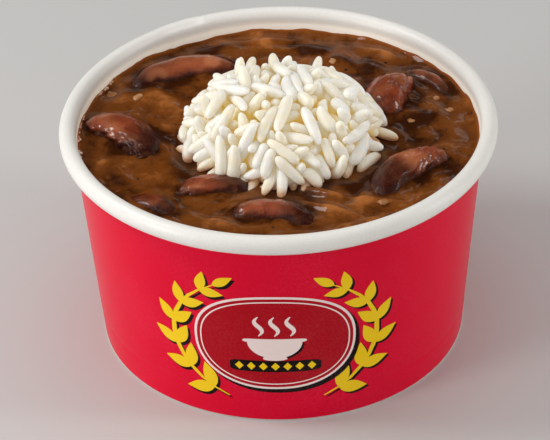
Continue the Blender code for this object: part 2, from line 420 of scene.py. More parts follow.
def ink_material(name, colour):
    """Printed ink under a clear coating."""
    material, tree, shader = new_material(name, Roughness=0.5, Coat_Weight=0.55,
                                          Coat_IOR=1.2, Coat_Roughness=0.2)
    shader.inputs["Specular IOR Level"].default_value = 0.04
    grain = use_group(tree, paper_grain_group(), {"Place": object_place(tree),
                      "Colour": colour, "Tint": 0.2})
    tree.links.new(grain.outputs["Colour"], shader.inputs["Base Color"])
    bump(tree, shader, grain.outputs["Height"], 0.03 * MM, 0.3)
    return material


def gravy_material(gravy):
    """Thick brown gravy: darker hollows and tan crests, partly starchy film and partly painted
    light and shade, with painted shade beside the beans and the rice, a thin amber edge and fine
    grain.
    """
    material, tree, shader = new_material("gravy", IOR=1.33, Coat_Weight=0.3, Coat_Roughness=0.1)
    shader.inputs["Specular IOR Level"].default_value = 0.15
    place = object_place(tree)
    wet = use_group(tree, wet_relief_group(), {"Place": place, "Fine": 1 / (0.8 * MM),
                    "Broad": 1 / (3.0 * MM), "Gloss": 0.34})
    # Colour value: starchy film and painted light on crests, painted shade in hollows and beside
    # the beans and the rice.
    crest = attribute_value(tree, "crest")
    drawn = add_node(tree, "ShaderNodeVectorMath", {0: place, 1: (0.45, 1.0, 1.0)},
                     operation="MULTIPLY").outputs[0]
    swirl = noise_value(tree, drawn, 4 * MM, detail=4.0, distortion=0.9)
    tone = calculate(tree, "ADD", crest, spread(tree, swirl, 0.3, 0.7, -0.09, 0.09))
    tone = calculate(tree, "ADD", tone, spread(tree, wet.outputs["Mottle"], 0.1, 0.9, -0.11, 0.11))
    body = mix_colours(tree, spread(tree, tone, -0.04, 0.52), tuple(gravy.dark),
                       tuple(gravy.middle))
    body = mix_colours(tree, spread(tree, tone, 0.5, 1.05), body, tuple(gravy.light))
    body = mix_colours(tree, attribute_value(tree, "thin"), body, tuple(gravy.edge))
    tree.links.new(body, shader.inputs["Base Color"])
    tree.links.new(wet.outputs["Roughness"], shader.inputs["Roughness"])
    bump(tree, shader, wet.outputs["Height"], 0.2 * MM, 0.7)
    return material


def bean_material(beans, gravy):
    """Wet bean skin with a painted sheen on its tops, darker on its lower parts and one end: partly
    dark gravy, partly painted shade.
    """
    material, tree, shader = new_material("bean_skin", IOR=1.4, Coat_Roughness=0.12)
    shader.inputs["Specular IOR Level"].default_value = 0.3
    place = object_place(tree)
    wet = use_group(tree, wet_relief_group(), {"Place": place, "Fine": 1 / (0.5 * MM),
                    "Broad": 1 / (4 * MM), "Gloss": 0.32})
    mottle = wet.outputs["Mottle"]
    skin = mix_colours(tree, spread(tree, mottle, -0.2, 0.9), tuple(beans.dark),
                       tuple(beans.middle))
    # Painted sheen on the beans' tops.
    skin = mix_colours(tree, attribute_value(tree, "rubbed"), skin, tuple(beans.pale))
    sauce = mix_colours(tree, spread(tree, mottle, 0.35, 1.8), tuple(beans.sauce_and_shade),
                        tuple(gravy.middle))
    # Darker lower parts and ends: partly gravy coating, partly painted shade.
    coated = attribute_value(tree, "coated")
    skin = mix_colours(tree, coated, skin, sauce)
    tree.links.new(skin, shader.inputs["Base Color"])
    tree.links.new(spread(tree, coated, 0.0, 0.9, 0.75, 0.12), shader.inputs["Coat Weight"])
    tree.links.new(wet.outputs["Roughness"], shader.inputs["Roughness"])
    bump(tree, shader, wet.outputs["Height"], 0.25 * MM, 0.8)
    return material


def rice_material(rice):
    """Moist cooked rice: white outside, with painted shade and painted glow deep in the heap,
    stained where it is wet.
    """
    material, tree, shader = new_material("rice_grain", Roughness=0.4, Subsurface_Weight=1.0,
                                          Subsurface_Scale=2.6 * MM, Coat_Weight=0.1,
                                          Coat_Roughness=0.2, Emission_Strength=1.0)
    shader.inputs["Subsurface Radius"].default_value = (1.0, 0.94, 0.82)
    shader.inputs["Specular IOR Level"].default_value = 0.4
    place = object_place(tree)
    cloud = noise_value(tree, place, 1.8 * MM, detail=2.0)
    # Painted shade and painted glow grow deeper in the heap; a random tone per grain adds to it.
    deep = attribute_value(tree, "deep")
    tone = calculate(tree, "ADD", deep, spread(tree, cloud, 0.35, 0.65, -0.06, 0.10), clamp=True)
    colour = mix_colours(tree, tone, tuple(rice.white), tuple(rice.painted_gap_shade))
    colour = mix_colours(tree, attribute_value(tree, "stained"), colour, tuple(rice.stain))
    tree.links.new(colour, shader.inputs["Base Color"])
    # Painted glow on every grain, stronger deep in the heap, none where stained.
    glow = mix_colours(tree, tone, tuple(rice.painted_grain_glow), tuple(rice.glow))
    glow = mix_colours(tree, attribute_value(tree, "stained"), glow, BLACK)
    tree.links.new(glow, shader.inputs["Emission Color"])
    bump(tree, shader, noise_value(tree, place, 0.7 * MM, detail=3.0), 0.05 * MM, 0.5)
    return material


def bit_material(name, first, second, size, gloss=0.3):
    """A small bit of food: two colours in a mottle, wet."""
    material, tree, shader = new_material(name, Coat_Weight=0.2, Coat_Roughness=0.15)
    wet = use_group(tree, wet_relief_group(), {"Place": object_place(tree), "Fine": 1 / size,
                    "Broad": 0.25 / size, "Gloss": gloss})
    colour = mix_colours(tree, wet.outputs["Mottle"], first, second)
    tree.links.new(colour, shader.inputs["Base Color"])
    tree.links.new(wet.outputs["Roughness"], shader.inputs["Roughness"])
    bump(tree, shader, wet.outputs["Height"], 0.1 * MM, 0.5)
    return material


# Mesh helpers


def add_piece(name, shape, material, nodes=(), sharp=None):
    """Make a bmesh a smooth-shaded piece that rides with the cup and stands for CAD nodes."""
    mesh = bpy.data.meshes.new(name)
    shape.to_mesh(mesh)
    shape.free()
    mesh.shade_smooth()
    if sharp:
        mesh.set_sharp_from_angle(angle=math.radians(sharp))
    mesh.materials.append(material)
    piece = bpy.data.objects.new(name, mesh)
    bpy.context.scene.collection.objects.link(piece)
    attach(piece, "root")
    if nodes:
        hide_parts(*nodes)
    return piece


def turned(outline, steps, closed, start=0.0):
    """Turn an outline of (radius, height) points about the Z axis into a closed shape."""
    shape = bmesh.new()
    corners = []
    for radius, height in outline:
        place = (radius * math.cos(start), radius * math.sin(start), height)
        corners.append(shape.verts.new(place))
    pairs = list(zip(corners, corners[1:]))
    if closed:
        pairs.append((corners[-1], corners[0]))
    edges = [shape.edges.new(pair) for pair in pairs]
    bmesh.ops.spin(shape, geom=corners + edges, cent=(0, 0, 0), axis=(0, 0, 1),
                   angle=math.tau, steps=steps, use_merge=True)
    bmesh.ops.remove_doubles(shape, verts=shape.verts, dist=0.0005 * MM)
    bmesh.ops.recalc_face_normals(shape, faces=shape.faces)
    return shape


def between(low, high, steps):
    """Values from low to high, both included."""
    return [low + (high - low) * step / steps for step in range(steps + 1)]


def smooth_step(value, low, high):
    """0 below low, 1 above high, and a soft ramp between them."""
    share = min(1.0, max(0.0, (value - low) / (high - low)))
    return share * share * (3.0 - 2.0 * share)


def wave(x, y, size, seed=0.0):
    """Smooth noise, about -1 to 1, with lumps as large as size."""
    return noise.noise(Vector((x / size, y / size, seed)))


# Cup

# Where the side seam lies and how finely the cup is turned; the gap between folded layers, the
# height of the board's cut edge, where the roll meets the wall and where the print ends under it;
# how far the print stands out; and the depth of the lines and ribs pressed into the board.
SEAM_ANGLE = math.radians(112)
CUP_STEPS = 288
BOARD_GAP = 0.3 * MM
CUT_EDGE = 0.35 * MM
ROLL_JOIN = math.radians(-129)
PRINT_END = math.radians(49)
PRINT_PROUD = 0.02 * MM
PRESSED_DEPTH = 0.07 * MM
GROOVE_DEPTH = 0.10 * MM
GROOVE_HEIGHT = CUP_HEIGHT - 3.0 * MM
RIB_DEPTH = 0.07 * MM
RIB_COUNT = 90


def inner_radius(cup, height):
    """Radius of the wall's inner face at a height."""
    base = cup.foot_radius - cup.wall
    mouth = RIM_RADIUS - cup.roll_width
    return base + (mouth - base) * height / (CUP_HEIGHT - cup.roll_height / 2)


def roll_outline(cup, first_angle, last_angle, steps):
    """Points round the rolled rim between two angles, 0 being its outermost side."""
    points = []
    for angle in between(first_angle, last_angle, steps):
        points.append((RIM_RADIUS - cup.roll_width / 2 * (1 - math.cos(angle)),
                       CUP_HEIGHT - cup.roll_height / 2 * (1 - math.sin(angle))))
    return points


def wall_wave(x, y, height):
    """Slight unevenness of the wall at a point."""
    return 0.10 * MM * wave(x, y, 30 * MM, height / (40 * MM))


def lap_height(cup, x, y, inside):
    """How far the glued lap of the seam stands out of the wall: 0 to 1, sharp at its free edge."""
    turn = math.remainder(math.atan2(y, x) - SEAM_ANGLE, math.tau)
    along = turn * cup.foot_radius
    if inside:
        along = cup.seam_lap - along
    if along < 0.03 * MM:
        return 0.0
    return 1.0 - smooth_step(along, cup.seam_lap, cup.seam_lap + 3 * MM)


def sharpen_seam(shape):
    """Bring the columns of points beside the lap's outer edge close together, for a crisp step."""
    spacing = math.tau / CUP_STEPS
    beside = {0: -0.001, 1: 0.002}
    for vertex in shape.verts:
        turn = math.remainder(math.atan2(vertex.co.y, vertex.co.x) - SEAM_ANGLE, math.tau)
        steps_away = round(turn / spacing)
        if steps_away in beside:
            vertex.co = Matrix.Rotation(beside[steps_away] - turn, 3, "Z") @ vertex.co


def shape_wall(cup, shape, two_sided=True):
    """Give the wall its seam, pressed line, groove under the rim, ribbed hem and slight waves."""
    mouth = shape.verts.layers.float.new("mouth")
    for vertex in shape.verts:
        x, y, height = vertex.co
        radius = math.hypot(x, y)
        inside = two_sided and radius < inner_radius(cup, height) + cup.wall / 2
        # Where the inner face near the mouth takes the painted glow.
        vertex[mouth] = inside and smooth_step(CUP_HEIGHT - height, 1.4 * MM, 3.4 * MM)
        lap = lap_height(cup, x, y, inside)
        over_hem = smooth_step(height, cup.hem_height, cup.hem_height + MM)
        if inside:
            push = -cup.seam_step * lap * over_hem
            push += GROOVE_DEPTH * math.exp(-((GROOVE_HEIGHT - height) / (0.5 * MM)) ** 2)
            if height < cup.hem_height + 0.1 * MM:
                push = RIB_DEPTH * math.sin(RIB_COUNT * math.atan2(y, x))
        else:
            push = cup.seam_step * lap
            push -= PRESSED_DEPTH * math.exp(-((height - BASE_TOP) / (0.6 * MM)) ** 2)
        push += wall_wave(x, y, height) * over_hem
        vertex.co.xy *= (radius + push) / radius


def wall_heights(low, high):
    """Heights of the wall's rings, closer together over the line pressed round the base."""
    pressed = [BASE_TOP + step * 0.35 * MM for step in range(-4, 5)]
    return (between(low, pressed[0] - 0.6 * MM, 4) + pressed
            + between(pressed[-1] + 0.8 * MM, high, 22))


def cup_shell(cup):
    """The white board: rolled rim, wall and folded hem."""
    slot_bottom = 0.8 * MM
    lean = inner_radius(cup, 1.0) - inner_radius(cup, 0.0)
    hem_outside = inner_radius(cup, slot_bottom) - 2 * BOARD_GAP - cup.board
    hem_top = hem_outside + lean * (cup.hem_height - slot_bottom)
    roll = roll_outline(cup, ROLL_JOIN, math.pi, 40)
    outline = []
    for height in wall_heights(CUT_EDGE, roll[0][1])[:-1]:
        outline.append((inner_radius(cup, height) + cup.wall, height))
    outline += roll
    grooved = between(roll[-1][1], roll[-1][1] - 2.4 * MM, 8)
    for height in grooved[1:] + between(grooved[-1], slot_bottom, 22)[1:]:
        outline.append((inner_radius(cup, height), height))
    outline += [(hem_outside, slot_bottom)]
    outline += [(hem_top, cup.hem_height), (hem_top - cup.board, cup.hem_height)]
    for height in between(cup.hem_height - 0.4 * MM, 0.3 * MM, 5):
        outline.append((hem_outside - cup.board + lean * height, height))
    outline += [(hem_outside - cup.board + 0.25 * MM, 0.0), (cup.foot_radius - 0.25 * MM, 0.0)]
    return turned(outline, CUP_STEPS, closed=True, start=SEAM_ANGLE)


def print_ply(cup):
    """The printed face of the board, from the foot to the underside of the rim."""
    depth = 0.25 * MM
    top = CUP_HEIGHT - cup.roll_height / 2 * (1 + math.sin(PRINT_END))
    heights = wall_heights(CUT_EDGE, top)
    outline = [(inner_radius(cup, height) + cup.wall + PRINT_PROUD, height) for height in heights]
    for height in reversed(heights):
        outline.append((inner_radius(cup, height) + cup.wall - depth, height))
    return turned(outline, CUP_STEPS, closed=True, start=SEAM_ANGLE)


class RICECUP_OT_cup(bpy.types.Operator):
    """Make the paper cup: white board, red printed face and raised base"""
    bl_idname = "rice_cup.cup"
    bl_label = "Paper Cup"

    def execute(self, context):
        cup = context.scene.rice_cup.cup
        white = board_material(cup)
        shell = cup_shell(cup)
        sharpen_seam(shell)
        shape_wall(cup, shell)
        add_piece("cup_shell", shell, white, ["cup_wall"], sharp=50)
        ply = print_ply(cup)
        sharpen_seam(ply)
        shape_wall(cup, ply, two_sided=False)
        add_piece("cup_print", ply, ink_material("red_print", tuple(cup.red)),
                  sharp=50)
        self.make_base(cup, white)
        return {"FINISHED"}

    def make_base(self, cup, white):
        """The raised base disc, with its edge turned down into the hem."""
        underside = BASE_TOP - cup.board
        edge = inner_radius(cup, BASE_EDGE) - BOARD_GAP
        fold = inner_radius(cup, underside) - BOARD_GAP - cup.board
        outline = [(radius, underside) for radius in between(0.0, fold - 0.5 * MM, 10)]
        outline += [(fold, underside - 0.5 * MM), (edge - cup.board, BASE_EDGE), (edge, BASE_EDGE)]
        outline += [(inner_radius(cup, BASE_TOP) - BOARD_GAP, BASE_TOP - 0.3 * MM)]
        outline += [(radius, BASE_TOP) for radius in between(fold, 0.0, 10)]
        shape = turned(outline, 144, closed=False)
        add_piece("base_disc", shape, white, ["cup_base"], sharp=50)


# Badge printed on the wall

# How far the badge sits to the left, how wide the flat strips of a bent shape are, and how many
# layers deep a printed shape reaches into those under it.
BADGE_SHIFT = -2.0 * MM
STRIP_WIDTH = 1.2 * MM
SUNK_LAYERS = 1.6


def on_wall(cup, across, up, proud):
    """The point on the outside of the wall that lies across and up from the front's middle."""
    radius = inner_radius(cup, up) + cup.wall + proud
    angle = across / (inner_radius(cup, CUP_HEIGHT / 2) + cup.wall) - math.pi / 2
    over_hem = smooth_step(up, cup.hem_height, cup.hem_height + MM)
    radius += wall_wave(radius * math.cos(angle), radius * math.sin(angle), up) * over_hem
    return Vector((radius * math.cos(angle), radius * math.sin(angle), up))


def lay_print(cup, badge, shape, outline, layer):
    """Add one flat printed shape, an outline of (across, up) points, bent round the wall."""
    ink = bmesh.new()
    ink.faces.new([ink.verts.new((across, up, 0.0)) for across, up in outline])
    low = min(across for across, up in outline)
    high = max(across for across, up in outline)
    strips = max(1, round((high - low) / STRIP_WIDTH))
    for cut in between(low, high, strips)[1:-1]:
        bmesh.ops.bisect_plane(ink, geom=ink.verts[:] + ink.edges[:] + ink.faces[:],
                               dist=0.001 * MM, plane_co=(cut, 0, 0), plane_no=(1, 0, 0))
    bmesh.ops.triangulate(ink, faces=ink.faces[:])
    raised = bmesh.ops.extrude_face_region(ink, geom=ink.faces[:])["geom"]
    for vertex in [item for item in raised if isinstance(item, bmesh.types.BMVert)]:
        vertex.co.z = 1.0
    for vertex in ink.verts:
        across, up, top = vertex.co
        proud = badge.layer * (layer if top > 0.5 else layer - SUNK_LAYERS) + PRINT_PROUD
        vertex.co = on_wall(cup, across, up, proud)
    bmesh.ops.recalc_face_normals(ink, faces=ink.faces[:])
    mesh = bpy.data.meshes.new("ink")
    ink.to_mesh(mesh)
    ink.free()
    shape.from_mesh(mesh)
    bpy.data.meshes.remove(mesh)


def oval(middle_across, middle_up, width, height, power=2.3, steps=72):
    """A slightly squared oval."""
    points = []
    for step in range(steps):
        angle = math.tau * step / steps
        cosine, sine = math.cos(angle), math.sin(angle)
        across = math.copysign(abs(cosine) ** (2 / power), cosine)
        up = math.copysign(abs(sine) ** (2 / power), sine)
        points.append((middle_across + across * width / 2, middle_up + up * height / 2))
    return points


def shifted(outline, across, up):
    """The outline moved across and up."""
    return [(point[0] + across, point[1] + up) for point in outline]


def stroke(spine, width):
    """A brush stroke along a list of points, pointed at both ends."""
    left, right = [], []
    last = len(spine) - 1
    for index, (across, up) in enumerate(spine):
        before, after = spine[max(0, index - 1)], spine[min(last, index + 1)]
        direction = Vector((after[0] - before[0], after[1] - before[1])).normalized()
        half = width / 2 * max(0.12, math.sin(math.pi * index / last)) ** 0.7
        left.append((across - direction.y * half, up + direction.x * half))
        right.append((across + direction.y * half, up - direction.x * half))
    return left + right[::-1]


def leaf(root, heading, length, width):
    """A pointed leaf that starts at its root and runs along a heading, in degrees."""
    turn = math.radians(heading)
    along = Vector((math.cos(turn), math.sin(turn)))
    side = Vector((-along.y, along.x))
    edges = []
    for sign in (1, -1):
        edge = []
        for step in range(1, 9):
            share = step / 9
            half = width / 2 * math.sin(math.pi * share ** 0.8)
            point = Vector(root) + along * length * share + side * sign * half
            edge.append((point.x, point.y))
        edges.append(edge)
    tip = Vector(root) + along * length
    return [tuple(root)] + edges[0] + [(tip.x, tip.y)] + edges[1][::-1]


def heading_between(start, end):
    """Which way one flat point lies from another, in degrees."""
    return math.degrees(math.atan2(end[1] - start[1], end[0] - start[0]))


def sprig(side, middle_up):
    """Outlines of one leafy sprig that curls round the badge; side is 1 at the right."""
    spine = []
    for step in range(13):
        angle = math.radians(-62 + 118 * step / 12)
        spine.append((side * 21.6 * MM * math.cos(angle), middle_up + 16.8 * MM * math.sin(angle)))
    shapes = [stroke(spine, 1.1 * MM)]
    for index in range(1, 12, 2):
        for lean in (-42, 42):
            size = 6.8 * MM - 0.16 * MM * index
            heading = heading_between(spine[index - 1], spine[index + 1]) + lean
            shapes.append(leaf(spine[index], heading, size, size * 0.46))
    shapes.append(leaf(spine[-1], heading_between(spine[-2], spine[-1]), 5.0 * MM, 2.1 * MM))
    return shapes


class RICECUP_OT_badge(bpy.types.Operator):
    """Print the badge: an oval with a steaming bowl and diamonds between two leafy sprigs"""
    bl_idname = "rice_cup.badge"
    bl_label = "Printed Badge"

    def execute(self, context):
        cup = context.scene.rice_cup.cup
        badge = context.scene.rice_cup.badge
        inks = {name: bmesh.new() for name in ("black", "cream", "deep_red", "yellow")}
        middle = badge.badge_middle
        width, height = badge.badge_width, badge.badge_height

        def lay(ink, outline, layer):
            lay_print(cup, badge, inks[ink], shifted(outline, BADGE_SHIFT, 0.0), layer)

        for side in (-1, 1):
            for outline in sprig(side, middle):
                lay("black", shifted(outline, 0.55 * MM, -0.6 * MM), 1)
                lay("yellow", outline, 2)
        lay("black", oval(0.9 * MM, middle - 1.0 * MM, width, height), 3)
        lay("cream", oval(0, middle, width, height), 4)
        lay("deep_red", oval(0, middle, width - 1.1 * MM, height - 1.1 * MM), 5)
        lay("cream", oval(0, middle, width - 2.5 * MM, height - 2.5 * MM), 6)
        lay("deep_red", oval(0, middle, width - 3.1 * MM, height - 3.1 * MM), 7)
        self.draw_bowl(lay, middle)
        self.draw_diamonds(lay, middle - 6.1 * MM)
        for name, shape in inks.items():
            add_piece("print_" + name, shape, ink_material("ink_" + name,
                      tuple(getattr(badge, name))), sharp=40)
        return {"FINISHED"}

    def draw_bowl(self, lay, middle):
        """A footed bowl, its rim line, and three curls of steam over it."""
        rim = middle + 0.4 * MM
        body = []
        for step in range(25):
            angle = math.pi + math.pi * step / 24
            body.append((5.6 * MM * math.cos(angle), rim + 4.3 * MM * math.sin(angle)))
        lay("black", shifted(body, 0.45 * MM, -0.45 * MM), 8)
        lay("cream", body, 9)
        lay("cream", oval(0, rim - 4.3 * MM, 5.0 * MM, 1.2 * MM, steps=24), 9)
        lay("cream", oval(0, rim + 0.35 * MM, 13.0 * MM, 1.0 * MM, power=4, steps=36), 10)
        for across in (-3.2 * MM, 0.0, 3.2 * MM):
            spine = []
            for step in range(15):
                up = rim + 1.6 * MM + 5.0 * MM * step / 14
                sway = 0.75 * MM * math.sin(math.tau * step / 14)
                spine.append((across + sway, up))
            lay("cream", stroke(spine, 1.0 * MM), 9)

    def draw_diamonds(self, lay, up):
        """A black band of yellow diamonds."""
        band = 3.0 * MM
        lay("black", oval(0, up, 19.0 * MM, band, power=6, steps=48), 8)
        for index in range(-3, 4):
            across = index * 2.5 * MM
            half = band * 0.30
            lay("yellow", [(across - half, up), (across, up - half * 1.15), (across + half, up),
                           (across, up + half * 1.15)], 9)


# Gravy

# Columns of the gravy's mesh, how far it runs into the wall, the width of its finer rings along
# the wall, the radius that the rice hides, and how far from a bean it still climbs.
GRAVY_COLUMNS = 540
INTO_WALL = 0.2 * MM
SHORE = 3 * MM
HIDDEN_RADIUS = 14 * MM
BEAN_REACH = 2 * MM


def gravy_level(gravy):
    """Height of the gravy's mean level."""
    return CUP_HEIGHT - gravy.drop


def ridge_rise(x, y):
    """How far the sunk pieces lift the gravy at a point, and how light or dark the gravy is there:
    partly starchy film, partly painted light and shade.
    """
    rise = 0.0
    ridge_light_and_shade = 0.0
    for ridge_x, ridge_y, heading, length, width, height, lightness in SUNK_RIDGES:
        turn = math.radians(heading)
        off_x, off_y = x - ridge_x * MM, y - ridge_y * MM
        along = off_x * math.cos(turn) + off_y * math.sin(turn)
        across = off_y * math.cos(turn) - off_x * math.sin(turn)
        bend = 0.10 * along * along / (length * MM / 2)
        away = (along / (length * MM / 2)) ** 2 + ((across - bend) / (width * MM / 2)) ** 2
        if away < 6.0:
            share = math.exp(-1.3 * away * away ** 0.3)
            rise += height * MM * share
            ridge_light_and_shade += lightness * share
    return rise, ridge_light_and_shade


def gravy_folds(x, y):
    """Slow folds drawn out round the cup, and finer lumps; both about -1 to 1."""
    radius = math.hypot(x, y)
    angle = math.atan2(y, x)
    warp = 2.2 * MM * wave(x, y, 9 * MM, 3.1)
    drawn = Vector((6.0 * math.cos(angle), 6.0 * math.sin(angle), (radius + warp) / (3.6 * MM)))
    folds = noise.noise(drawn) * smooth_step(radius, 12 * MM, 26 * MM)
    folds += 0.8 * wave(x + warp, y - warp, 7 * MM, 7.7)
    lumps = wave(x, y, 2.6 * MM, 1.3) + 0.45 * wave(x, y, 1.3 * MM, 5.9)
    return folds, lumps * (0.25 + 0.95 * smooth_step(wave(x, y, 8 * MM, 9.2), -0.25, 0.4))


def gravy_point(gravy, trees, x, y):
    """Height of the gravy's surface at a point, and a colour value: starchy film and painted light
    on crests, painted shade in hollows, beside the beans and at the foot of the rice.
    """
    level = gravy_level(gravy)
    folds, lumps = gravy_folds(x, y)
    rise, ridge_light_and_shade = ridge_rise(x, y)
    open_height = level + gravy.relief * (0.95 * folds + 0.32 * lumps) + rise - 0.15 * MM
    height = open_height
    nearest = 0.0
    for name, tree in trees.items():
        low, high = BEAN_BOXES[name]
        beside = low.x - BEAN_REACH < x < high.x + BEAN_REACH
        if beside and low.y - BEAN_REACH < y < high.y + BEAN_REACH:
            away = tree.find_nearest(Vector((x, y, open_height)))[3]
            height += gravy.cling * math.exp(-away / (1.5 * MM))
            # Nearness to a bean, for the painted shade beside it.
            nearest = max(nearest, math.exp(-away / (1.2 * MM)))
    # Starchy film and painted light on crests, painted shade in hollows; then painted shade beside
    # the beans and at the foot of the rice.
    crest = 0.42 + 0.38 * folds + 0.17 * lumps + 0.7 * ridge_light_and_shade
    share = heap_share(numpy.array((x, y, level)))
    return height, crest - 0.32 * nearest - 0.28 * (1.0 - smooth_step(share, 0.98, 1.2))


class RICECUP_OT_gravy(bpy.types.Operator):
    """Fill the cup with gravy, folded and lumpy, up to its level"""
    bl_idname = "rice_cup.gravy"
    bl_label = "Gravy"

    def execute(self, context):
        settings = context.scene.rice_cup
        shape = self.still_gravy(settings.cup, gravy_level(settings.gravy))
        self.stir(shape, settings)
        add_piece("gravy_surface", shape, gravy_material(settings.gravy), ["gravy"])
        return {"FINISHED"}

    def still_gravy(self, cup, level):
        """The gravy with a flat surface: rings close together except under the rice."""
        reach = inner_radius(cup, level)
        bottom = BASE_TOP + 0.05 * MM
        outline = [(0.0, bottom)]
        for height in between(bottom, level - 2 * MM, 3):
            outline.append((inner_radius(cup, height) + INTO_WALL, height))
        shore_rings = between(reach, reach - SHORE, 14)
        open_rings = between(reach - SHORE, HIDDEN_RADIUS, 84)[1:]
        hidden_rings = between(HIDDEN_RADIUS, 0.0, 7)[1:]
        outline += [(radius, level) for radius in shore_rings + open_rings + hidden_rings]
        return turned(outline, GRAVY_COLUMNS, closed=False)

    def stir(self, shape, settings):
        """Give the surface its folds and lumps, and let it climb the wall a little."""
        gravy, cup = settings.gravy, settings.cup
        level = gravy_level(gravy)
        reach = inner_radius(cup, level)
        trees = bean_trees(settings)
        crest = shape.verts.layers.float.new("crest")
        thin = shape.verts.layers.float.new("thin")
        for vertex in shape.verts:
            x, y, height = vertex.co
            if height < level - MM:
                continue
            radius = math.hypot(x, y)
            vertex.co.z, vertex[crest] = gravy_point(gravy, trees, x, y)
            angle = math.atan2(y, x)
            uneven = 1.0 + 0.35 * wave(math.cos(angle), math.sin(angle), 0.16, 2.0)
            vertex.co.z += gravy.lift * uneven * math.exp((radius - reach) / (0.75 * MM))
            vertex[thin] = smooth_step(radius, reach - 0.7 * MM, reach)
            if radius > reach - 0.05 * MM:
                vertex.co.xy *= (inner_radius(cup, vertex.co.z) + INTO_WALL) / radius


# Beans


def bean_shape(name, settings):
    """A wrinkled, wet kidney bean in its node's place."""
    facts = BEANS[name]
    half = Vector(facts["size"]) * MM / 2
    heading = math.radians(facts["heading"])
    shape = bmesh.new()
    bmesh.ops.create_uvsphere(shape, u_segments=72, v_segments=64, radius=1.0)
    bmesh.ops.rotate(shape, verts=shape.verts, matrix=Matrix.Rotation(math.radians(90), 3, "Y"))
    shape.verts.layers.float.new("rubbed")
    coated = shape.verts.layers.float.new("coated")
    turn = (Matrix.Rotation(heading, 3, "Z")
            @ Matrix.Rotation(math.radians(-facts.get("rise", 0)), 3, "Y"))
    for vertex in shape.verts:
        along, across, up = vertex.co
        slope = 1.0 - along * along
        hollow = 1.0 - BEAN_NOTCH * slope * slope * max(0.0, -across)
        bow = BEAN_BOW * 2 * half.x * (slope - 0.5)
        vertex.co = Vector((half.x * along * (1.0 + BEAN_BLUNTNESS * slope),
                            half.y * across * hollow + bow, half.z * up))
    shape.normal_update()
    for vertex in shape.verts:
        # One end is darkened, partly as gravy coating and partly as painted shade.
        toward_dark_end = vertex.co.x / half.x * facts["dark_end"] + 0.25 * abs(facts["dark_end"])
        dark_share = smooth_step(toward_dark_end, 0.0, 0.75)
        vertex[coated] = 0.9 * dark_share
        vertex.co += vertex.normal * bean_relief(vertex.co, half, facts, settings.beans)
        vertex.co = turn @ vertex.co
    low = Vector([min(vertex.co[axis] for vertex in shape.verts) for axis in range(3)])
    high = Vector([max(vertex.co[axis] for vertex in shape.verts) for axis in range(3)])
    node_low, node_high = BEAN_BOXES[name]
    bmesh.ops.translate(shape, verts=shape.verts, vec=(node_low + node_high - low - high) / 2)
    shape.normal_update()
    mark_skin(shape, facts["rub"], gravy_level(settings.gravy))
    return shape


def mark_skin(shape, rub, level):
    """Mark where a bean's skin is darkened, partly coated with gravy and partly painted shade, and
    where its top takes a painted sheen.
    """
    coated = shape.verts.layers.float["coated"]
    rubbed = shape.verts.layers.float["rubbed"]
    for vertex in shape.verts:
        # Near the gravy the skin is darkened: partly gravy coating, partly painted shade.
        above = vertex.co.z - level
        edge = 0.6 * MM * wave(vertex.co.x, vertex.co.y, 2.2 * MM, 4.0)
        wet = 1.0 - smooth_step(above + edge, 0.3 * MM, 1.8 * MM)
        vertex[coated] = min(1.0, vertex[coated] + 0.9 * wet)
        # Painted sheen: upward-facing skin is made paler, in patches.
        facing_up = smooth_step(vertex.normal.z, 0.3, 0.95)
        patch = smooth_step(noise.noise(vertex.co / (4.5 * MM) + Vector((3, 9, 1))), -0.15, 0.45)
        vertex[rubbed] = min(1.0, facing_up * rub * (0.2 + 0.8 * patch))


def bean_relief(place, half, facts, beans):
    """How far the skin stands out of a bean's smooth shape, from its own coordinates."""
    seed = Vector((0, 0, facts["heading"]))
    stretched = Vector((place.x / (2.6 * MM), place.y / (1.3 * MM), place.z / (1.3 * MM))) + seed
    creases = 1.0 - 3.0 * abs(noise.noise(stretched))
    puckers = noise.noise(place / (0.9 * MM) + seed)
    dents = noise.noise(place / (5.5 * MM) + seed * 0.7)
    uneven = smooth_step(noise.noise(place / (7 * MM) - seed), -0.35, 0.35)
    fine = facts["wrinkle"] * (0.35 + 0.65 * uneven)
    relief = beans.wrinkle * (0.4 * creases + 0.3 * puckers) * fine + 0.4 * MM * dents
    if "crinkle" in facts:
        along, across, depth = facts["crinkle"]
        toward = place.x / half.x * along + place.y / half.y * across
        zone = smooth_step(toward, 0.1, 0.6)
        blisters = abs(noise.noise(place / (1.8 * MM) + seed * 1.3))
        relief += beans.crinkle * depth * zone * (blisters * 2.2 - 0.5)
    return relief


def bean_trees(settings):
    """Search trees of the beans' surfaces."""
    trees = {}
    for name in BEANS:
        shape = bean_shape(name, settings)
        trees[name] = BVHTree.FromBMesh(shape)
        shape.free()
    return trees


class RICECUP_OT_beans(bpy.types.Operator):
    """Lay the beans that show in the gravy"""
    bl_idname = "rice_cup.beans"
    bl_label = "Beans"

    def execute(self, context):
        settings = context.scene.rice_cup
        skin = bean_material(settings.beans, settings.gravy)
        for name in BEANS:
            add_piece(name + "_skin", bean_shape(name, settings), skin, [name])
        return {"FINISHED"}


# Rice

HEAP_POWER = 2.2
CROWN_SHIFT = 2.5 * MM
CORE_SIZE = 0.74
# How much painted shade and painted glow the core under the grains takes.
CORE_PAINTED_SHADE = 0.8
HEAP_SEED = 23
SHORT_SHARE = 0.20
SHORT_LENGTH = 0.64
STRAY_SHARE = 0.14

